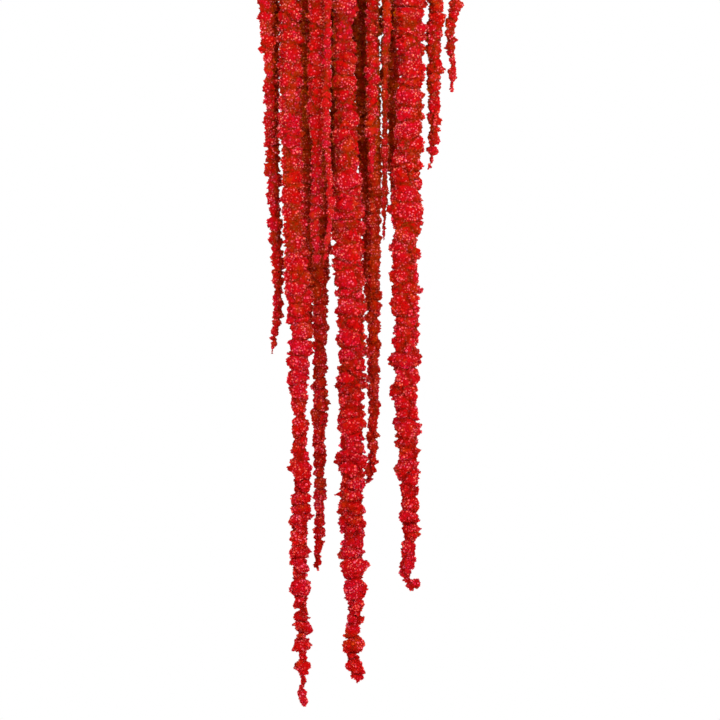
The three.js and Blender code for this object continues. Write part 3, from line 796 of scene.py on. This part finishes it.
leafSettings = {
    "columns": 8,
    "rows": 26,
    "bladeFrom": 0.27,  # share of the leaf that is bare stalk, where the grid starts
    "petiole": 0.3,  # share of the leaf where the blade starts to widen
    "outline": (0.72, 0.85),  # powers: where the blade is widest, and how full it is
    "leastHalf": 0.5,  # mm, half the width at the tip
    "thickness": 0.6,
    "fold": 0.24,
    "wave": (1.6, 15),  # mm at the blade's edge, and how closely the waves follow
    "frill": (0.5, 38),
    "phase": 1.7,  # from one leaf's waves to the next one's
    "sideVeins": 8,
    "veinSlant": 1.6,  # side veins passed on the level from the rib to the edge
    "quilt": 0.35,  # mm that the skin rises between two side veins
    "quiltFade": (3, 8),  # full from a third of the way out, and from a half width of 8 mm
    "ribSteps": 16,
    "ribRadii": (1.4, 1.15, 1.0, 0.85, 0.7, 0.5, 0.3),
    "ribDrop": 0.6,  # of the thickness
    "stemSteps": 24,
    "detail": 2,  # of the rods
    "seed": 7,
    "ages": [(0.0, "447426"), (0.55, "32601e"), (1.0, "527226")],
    "codes": {
        "blotch": "24481a",
        "flush": "6d4a2c",
        "vein": "86a84c",
        "rib": "a04c50",
        "stalk": ("a83a44", "7d2632"),
        "patch": "8a8a45",
    },
}


def makeLeafMaterial():
    material, tree, surface = newMaterial(
        "leafGreen", Roughness=0.5, Specular_IOR_Level=0.4, Subsurface_Weight=0.06
    )
    codes = leafSettings["codes"]
    grid = addNode(tree, "ShaderNodeUVMap", uv_map="leaf").outputs["UV"]
    spot = addNode(tree, "ShaderNodeSeparateXYZ", {0: grid}).outputs
    across = addMath(tree, "ABSOLUTE", addMath(tree, "SUBTRACT", spot["X"], 0.5))
    rib = addRange(tree, across, 0.012, 0.035, 1.0, 0.0)
    rows = multiply(tree, spot["Y"], leafSettings["sideVeins"])
    slant = addMath(tree, "SUBTRACT", rows, multiply(tree, across, 2 * leafSettings["veinSlant"]))
    phase = addMath(tree, "ABSOLUTE", addMath(tree, "SUBTRACT", addMath(tree, "FRACT", slant), 0.5))
    vein = multiply(tree, addRange(tree, phase, 0.43, 0.485), 0.65)
    flush = addRange(tree, across, 0.4, 0.5, 0.0, 0.55)
    blotch = multiply(tree, addBlotches(tree, objectVector(tree), 90.0, 0.5, 0.75), 0.5)
    tone = addRamp(tree, readAttribute(tree, "age"), leafSettings["ages"])
    for name, mask in (("blotch", blotch), ("flush", flush), ("vein", vein), ("rib", rib)):
        tone = addMix(tree, mask, tone, colourOf(codes[name]))
    tree.links.new(tone, surface.inputs["Base Color"])
    values = {"Height": addUp(tree, rib, vein), "Strength": 0.5, "Distance": 0.0004}
    bump = addNode(tree, "ShaderNodeBump", values, invert=True)
    tree.links.new(bump.outputs["Normal"], surface.inputs["Normal"])
    return material


def makeStalkMaterial():
    material, tree, surface = newMaterial("stalkRed", Roughness=0.5, Specular_IOR_Level=0.4)
    codes = leafSettings["codes"]
    vector = objectVector(tree, (1, 1, 0.12))
    tone = mixCodes(tree, addBlotches(tree, vector, 420.0, 0.35, 0.65), codes["stalk"])
    patches = multiply(tree, addBlotches(tree, objectVector(tree), 24.0, 0.35, 0.65), 0.8)
    tone = addMix(tree, patches, tone, colourOf(codes["patch"]))
    tree.links.new(tone, surface.inputs["Base Color"])
    addGrain(tree, surface, vector, 700.0, 0.35, 0.0004)
    return material


def leafFrame(base, values):
    azimuth, reach, bendRise, tipRise, halfWidth = values[1:]
    angle = math.radians(azimuth)
    out = Vector((math.cos(angle), math.sin(angle), 0))
    side = Vector((-math.sin(angle), math.cos(angle), 0))
    bend = base + out * 0.5 * reach + Vector((0, 0, bendRise))
    tip = base + out * reach + Vector((0, 0, tipRise))

    def ribAt(t):
        place = base * (1 - t) ** 2 + bend * 2 * t * (1 - t) + tip * t ** 2
        along = ((bend - base) * (1 - t) + (tip - bend) * t).normalized()
        return place, along.cross(side).normalized()

    return ribAt, side, halfWidth


# One blade: a grid laid along the rib, folded, waved and quilted between its side veins,
# then given its thickness
def addBlade(bm, base, values, phase, age, ageLayer):
    ribAt, side, halfWidth = leafFrame(base, values)
    bladeFrom, petiole = leafSettings["bladeFrom"], leafSettings["petiole"]
    widest, fullness = leafSettings["outline"]
    waveRise, waves = leafSettings["wave"]
    frillRise, frills = leafSettings["frill"]
    fade, narrow = leafSettings["quiltFade"]
    grid = bmesh.ops.create_grid(
        bm, x_segments=leafSettings["columns"], y_segments=leafSettings["rows"], size=0.5, calc_uvs=True
    )["verts"]
    for vert in grid:
        across, row = 2 * vert.co.x, vert.co.y + 0.5
        t = bladeFrom + (1 - bladeFrom) * row
        blade = max(0, (t - petiole) / (1 - petiole))
        bulge = math.sin(math.pi * blade)
        half = halfWidth * max(0, math.sin(math.pi * blade ** widest)) ** fullness
        width = max(leafSettings["leastHalf"], half)
        place, up = ribAt(t)
        veins = leafSettings["sideVeins"] * row - leafSettings["veinSlant"] * abs(across)
        quilt = -leafSettings["quilt"] * math.cos(2 * math.pi * veins)
        quilt = quilt * min(1, fade * abs(across)) * min(1, width / narrow)
        wave = across * waveRise * math.sin(waves * t + phase) * bulge
        frill = frillRise * abs(across) ** 3 * math.sin(frills * t + 3 * phase) * bulge
        lift = abs(across) * leafSettings["fold"] * width + wave + frill + quilt
        vert.co = (place + side * across * width + up * lift) * mm
        vert[ageLayer] = age
    faces = list(dict.fromkeys(face for vert in grid for face in vert.link_faces))
    bmesh.ops.solidify(bm, geom=faces, thickness=leafSettings["thickness"] * mm)


def makeLeafyStem(name, values, materials, chance):
    route = throughPoints(values["path"], leafSettings["stemSteps"])
    rods = [([place * mm for place in route], [radius * mm for radius in values["radii"]])]
    under = leafSettings["thickness"] * leafSettings["ribDrop"]
    steps = leafSettings["ribSteps"]
    bm = bmesh.new()
    bm.loops.layers.uv.new("leaf")
    ageLayer = bm.verts.layers.float.new("age")
    for n, leaf in enumerate(values["leaves"]):
        base = pointAt(route, leaf[0])
        ribAt = leafFrame(base, leaf)[0]
        spots = [ribAt(step / steps) for step in range(steps + 1)]
        rib = [(place - up * under) * mm for place, up in spots]
        rods.append((rib, [radius * mm for radius in leafSettings["ribRadii"]]))
        addBlade(bm, base, leaf, leafSettings["phase"] * n, chance.random(), ageLayer)
    bmesh.ops.recalc_face_normals(bm, faces=bm.faces)
    blades = len(bm.faces)
    bm.from_mesh(rodMesh(name, rods, leafSettings["detail"]))
    bm.faces.ensure_lookup_table()
    for face in bm.faces[blades:]:
        face.material_index = 1
    mesh = meshFrom(bm, "leaves_" + name)
    addPiece("leaves_" + name, mesh, ["leafy_stem_" + name], materials)


def makeLeafyStems():
    materials = [makeLeafMaterial(), makeStalkMaterial()]
    chance = random.Random(leafSettings["seed"])
    for name, values in stemSettings.items():
        makeLeafyStem(name, values, materials, chance)
    print("leafy stems made:", len(stemSettings))


makeLeafyStems()


# Clay bowl, in millimetres as in part.mjs
bowlSettings = {
    "outside": [
        (9, -505), (60, -505), (66, -502), (86, -470), (95, -446), (100, -425), (110, -425),
        (112, -403), (110, -400),
    ],
    "inside": [(97, -400), (93.5, -425), (88, -446), (79, -468), (58, -496), (9, -496)],
    "sides": 72,
    "throwing": (0.12, 0.35),  # mm that the potter's rings stand out, and how closely they follow
    "step": 2.6,
    "rounding": 0.7,
    "codes": {"clay": ("ae5c39", "974828"), "speck": "c58a66", "bloom": "d9c3ae", "damp": "6f3a22"},
    "bloom": (-0.43, -0.5),  # metres, the heights between which the lime comes
    "damp": (-0.415, -0.407),  # and those between which the damp ends
}


# The outline with extra points along its slanted sides, pushed in and out a little
def thrownOutline():
    corners = bowlSettings["outside"] + bowlSettings["inside"]
    depth, closeness = bowlSettings["throwing"]
    made = []
    for (radius, z), (nextRadius, nextZ) in zip(corners, corners[1:] + corners[:1]):
        steps = max(1, round(abs(nextZ - z) / bowlSettings["step"]))
        for n in range(steps):
            spot = n / steps
            high = z + (nextZ - z) * spot
            ring = depth * noise.noise((0, 0, high * closeness)) if n else 0
            made.append((radius + (nextRadius - radius) * spot + ring, high))
    return made


def makeClayMaterial():
    material, tree, surface = newMaterial("terracotta", Roughness=0.85, Specular_IOR_Level=0.25)
    codes = bowlSettings["codes"]
    vector = objectVector(tree)
    high = heightOf(tree, vector)
    clay = mixCodes(tree, addBlotches(tree, vector, 34.0, 0.35, 0.7), codes["clay"])
    specks = addBlotches(tree, vector, 820.0, 0.64, 0.78, 2.0)
    clay = addMix(tree, specks, clay, colourOf(codes["speck"]))
    bloom = addBlotches(tree, vector, 22.0, 0.48, 0.66)
    bloom = multiply(tree, bloom, addRange(tree, high, *bowlSettings["bloom"]), 0.6)
    clay = addMix(tree, bloom, clay, colourOf(codes["bloom"]))
    damp = addRange(tree, high, *bowlSettings["damp"], 1.0, 0.0)
    damp = multiply(tree, damp, addBlotches(tree, vector, 16.0, 0.4, 0.6), 0.35)
    clay = addMix(tree, damp, clay, colourOf(codes["damp"]))
    tree.links.new(clay, surface.inputs["Base Color"])
    addGrain(tree, surface, vector, 1400.0, 0.5, 0.0003)
    return material


def makeBowl():
    bm = bmesh.new()
    turnedShell(bm, thrownOutline(), bowlSettings["sides"], bowlSettings["rounding"] * mm)
    addPiece("bowl", meshFrom(bm, "bowl"), ["pot"], [makeClayMaterial()])
    print("bowl turned")


makeBowl()


# Soil: the body that fills the bowl, roughened on top, with crumbs lying on it
soilSettings = {
    "outline": [
        (0, -502), (8.4, -502), (8.4, -495.6), (57.6, -495.6), (78.6, -468), (87.6, -446), (93.1, -425),
        (93.1, -414),
    ],
    "radius": 93.1,
    "crown": -406,
    "drop": (8, 1.6),  # mm from the crown to the edge, and the power that it falls by
    "rings": 9,
    "sides": 64,
    "rounding": (0.2, 60),  # mm, and the degrees from which a ring is rounded
    "rough": -413.6,  # mm, the height from which the top is roughened
    "lump": (1.1, 140),  # mm that the top is uneven by, and how closely
    "crumbs": 420,
    "crumb": (0.9, 2.6),
    "crumbForm": (0.7, 1.15),  # how far in or out each corner of a crumb moves
    "crumbRise": 0.2,  # of a crumb's size, how far its middle lies above the top
    "within": 91,  # mm, where the crumbs lie
    "seed": 5,
    "codes": {"soil": ("2a1b12", "4a3323"), "bits": "7a6248"},
}


def soilHeight(radius):
    drop, power = soilSettings["drop"]
    return soilSettings["crown"] - drop * (radius / soilSettings["radius"]) ** power


def makeSoilMaterial():
    material, tree, surface = newMaterial("pottingSoil", Roughness=0.95, Specular_IOR_Level=0.2)
    codes = soilSettings["codes"]
    vector = objectVector(tree)
    tone = mixCodes(tree, addBlotches(tree, vector, 130.0, 0.4, 0.62), codes["soil"])
    bits = addBlotches(tree, vector, 700.0, 0.62, 0.72, 2.0)
    tone = addMix(tree, bits, tone, colourOf(codes["bits"]))
    tree.links.new(tone, surface.inputs["Base Color"])
    addGrain(tree, surface, vector, 900.0, 0.9, 0.001)
    return material


def makeSoil():
    rings = soilSettings["rings"]
    radii = [soilSettings["radius"] * (1 - n / rings) for n in range(1, rings + 1)]
    outline = soilSettings["outline"] + [(radius, soilHeight(radius)) for radius in radii]
    lump, closeness = soilSettings["lump"]
    bm = bmesh.new()
    rounding, sharp = soilSettings["rounding"]
    turnedShell(bm, outline, soilSettings["sides"], rounding * mm, sharp)
    for vert in bm.verts:
        if vert.co.z > soilSettings["rough"] * mm:
            vert.co.z += lump * mm * noise.noise(vert.co * closeness)
    chance = random.Random(soilSettings["seed"])
    for _ in range(soilSettings["crumbs"]):
        radius = soilSettings["within"] * math.sqrt(chance.random())
        angle = chance.uniform(0, 2 * math.pi)
        size = chance.uniform(*soilSettings["crumb"])
        made = bmesh.ops.create_icosphere(bm, subdivisions=1, radius=size * mm)["verts"]
        high = soilHeight(radius) + soilSettings["crumbRise"] * size
        place = Vector((radius * math.cos(angle), radius * math.sin(angle), high)) * mm
        for vert in made:
            vert.co = vert.co * chance.uniform(*soilSettings["crumbForm"]) + place
    addPiece("soil_crumbs", meshFrom(bm, "soil_crumbs"), ["soil"], [makeSoilMaterial()])
    print("soil filled")


makeSoil()


# Hanger, in millimetres as in part.mjs
hangerSettings = {
    "bend": 13.5,
    "centreZ": -11,
    "angles": range(-40, 191, 23),  # degrees round the bend
    "rod": 2.5,  # radius, as the wire's below
    "hookEnd": 0.96,  # of the rod, how thick the free end is
    "cap": [(0, -56), (8.5, -56), (8.5, -44), (3.6, -40), (0, -40)],
    "capSides": 40,
    "rounding": 0.5,
    "wire": 1.6,
    "gap": 0.35,  # between the wires and the bowl
    "azimuths": (90, 210, 330),
    "steps": 6,
    "detail": {"hook": 6, "wire": 4},
    "codes": {"coat": ("2b2d2e", "3a3d3f"), "worn": "8d9092"},
}


def makeSteelMaterial():
    material, tree, surface = newMaterial(
        "coatedSteel", Roughness=0.42, Metallic=0.0, Specular_IOR_Level=0.5
    )
    codes = hangerSettings["codes"]
    vector = objectVector(tree)
    tone = mixCodes(tree, addBlotches(tree, vector, 60.0, 0.4, 0.65), codes["coat"])
    worn = addBlotches(tree, vector, 260.0, 0.68, 0.74)
    tone = addMix(tree, worn, tone, colourOf(codes["worn"]))
    tree.links.new(tone, surface.inputs["Base Color"])
    tree.links.new(addRange(tree, worn, 0.0, 1.0, 0.42, 0.28), surface.inputs["Roughness"])
    tree.links.new(multiply(tree, worn, 0.9), surface.inputs["Metallic"])
    addGrain(tree, surface, vector, 1100.0, 0.2, 0.0002)
    return material


def hookRoute():
    bend, centreZ = hangerSettings["bend"], hangerSettings["centreZ"]
    route = [(0, 0, -46), (0, 0, -34), (3.5, 0, -26.5)]
    for angle in hangerSettings["angles"]:
        turn = math.radians(angle)
        route.append((bend * math.cos(turn), 0, centreZ + bend * math.sin(turn)))
    return route + [(-bend - 1.6, 0, centreZ - 9)]


# Down to the rim, over its band and under it, a gap and half a wire off the clay
def wireRoute(azimuth):
    off = hangerSettings["gap"] + hangerSettings["wire"]
    outline = [
        (4.6, -46), (58.3, -223), (108.8, -389.4), (112.1 + off, -399), (112.2 + off, -404),
        (110.3 + off, -424), (110 + 0.85 * off, -425 - 0.85 * off), (109.5, -425.2 - off),
        (102.5, -425.1 - off),
    ]
    angle = math.radians(azimuth)
    return [(radius * math.cos(angle), radius * math.sin(angle), z) for radius, z in outline]


# A rod along the curve through the points, with its radii in metres
def bentRod(name, points, radii, detail):
    route = [place * mm for place in throughPoints(points, hangerSettings["steps"])]
    return rodMesh(name, [(route, radii)], detail)


def makeHanger():
    steel = makeSteelMaterial()
    detail = hangerSettings["detail"]
    rod, wire = hangerSettings["rod"] * mm, hangerSettings["wire"] * mm
    bm = bmesh.new()
    turnedShell(bm, hangerSettings["cap"], hangerSettings["capSides"], hangerSettings["rounding"] * mm)
    radii = [rod] * 12 + [rod * hangerSettings["hookEnd"]]
    bm.from_mesh(bentRod("hook", hookRoute(), radii, detail["hook"]))
    addPiece("hanger_swivel", meshFrom(bm, "hanger_swivel"), ["hanger_hook"], [steel])
    for n, azimuth in enumerate(hangerSettings["azimuths"]):
        mesh = bentRod(f"wire_{n + 1}", wireRoute(azimuth), [wire] * 2, detail["wire"])
        addPiece(f"wire_{n + 1}", mesh, [f"hanger_wire_{n + 1}"], [steel])
    print("hanger bent")


makeHanger()


# Light and stage
stageSettings = {
    "floorZ": -1.3,
    "floorRadius": 2.9,
    "floorSides": 96,
    "paper": ("edeff4", "f2f4f8"),
    "backdrop": 1.0,
    "ambient": 1.1,
    "shadeTint": (1, 0.97, 0.88, 1),
    "lights": {  # place, aim, size, watts
        "key": ((1.0, -2.4, 0.5), (0, -0.1, -0.6), 1.6, 49),
        "fill": ((-1.1, -2.4, 0.1), (0, -0.1, -0.6), 1.4, 16),
        "back": ((0.6, 2.4, 0.6), (0, 0, -0.4), 1.4, 45),
    },
}


def makeFloor():
    bm = bmesh.new()
    bmesh.ops.create_circle(
        bm, cap_ends=True, segments=stageSettings["floorSides"], radius=stageSettings["floorRadius"]
    )
    bmesh.ops.translate(bm, verts=bm.verts, vec=(0, 0, stageSettings["floorZ"]))
    floor = makeThing("floor", meshFrom(bm, "floor", smooth=False))
    material, tree, surface = newMaterial("palePaper", Roughness=0.9)
    mask = addBlotches(tree, objectVector(tree), 3.0, 0.3, 0.7)
    tree.links.new(mixCodes(tree, mask, stageSettings["paper"]), surface.inputs["Base Color"])
    floor.data.materials.append(material)


def makeStudio():
    world = bpy.data.worlds.new("studio")
    scene.world = world
    world.use_nodes = True
    tree = world.node_tree
    background = tree.nodes["Background"]
    seen = addNode(tree, "ShaderNodeLightPath").outputs["Is Camera Ray"]
    tint = addMix(tree, seen, stageSettings["shadeTint"], (1, 1, 1, 1))
    tree.links.new(tint, background.inputs["Color"])
    strength = addRange(tree, seen, 0.0, 1.0, stageSettings["ambient"], stageSettings["backdrop"])
    tree.links.new(strength, background.inputs["Strength"])
    for name, (place, aim, size, watts) in stageSettings["lights"].items():
        lamp = makeThing(name, bpy.data.lights.new(name, "AREA"))
        lamp.data.shape = "DISK"
        lamp.data.size = size
        lamp.data.energy = watts
        lamp.location = place
        lamp.rotation_euler = (Vector(aim) - Vector(place)).to_track_quat("-Z", "Y").to_euler()


makeFloor()
makeStudio()
print("stage and lights set")
